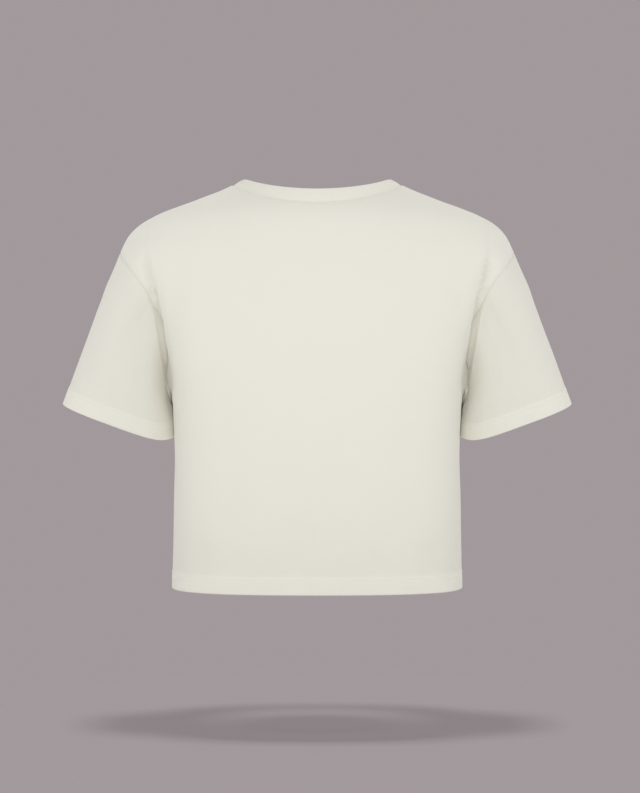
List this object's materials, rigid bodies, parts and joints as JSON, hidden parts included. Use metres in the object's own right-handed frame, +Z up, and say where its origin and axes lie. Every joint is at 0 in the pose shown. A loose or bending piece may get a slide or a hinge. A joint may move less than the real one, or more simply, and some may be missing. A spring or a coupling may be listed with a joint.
{
  "type": "cropped t-shirt",
  "caption": "Hollow short-sleeved crew-neck t-shirt in plain cream jersey, cropped and boxy, with dropped shoulders and turned-up hems, filled out as when worn.",
  "frame": {"origin": "midway between the neck ends of the two shoulder seams, at their height, where the wearer's shoulders hold the shirt up", "axes": "+Z up, the front faces -Y, +X towards the wearer's left sleeve"},
  "size_m": [0.5758, 0.2544, 0.4613],
  "materials": {
    "jersey": "matt combed cotton single jersey, cream, with twin-needle stitched hems",
    "rib": "matt fine cotton rib, cream, folded double"
  },
  "bodies": {
    "root": {"back_panel": "jersey", "front_panel": "jersey", "sleeve_left": "jersey", "sleeve_right": "jersey", "neckband": "rib"}
  },
  "joints": []
}
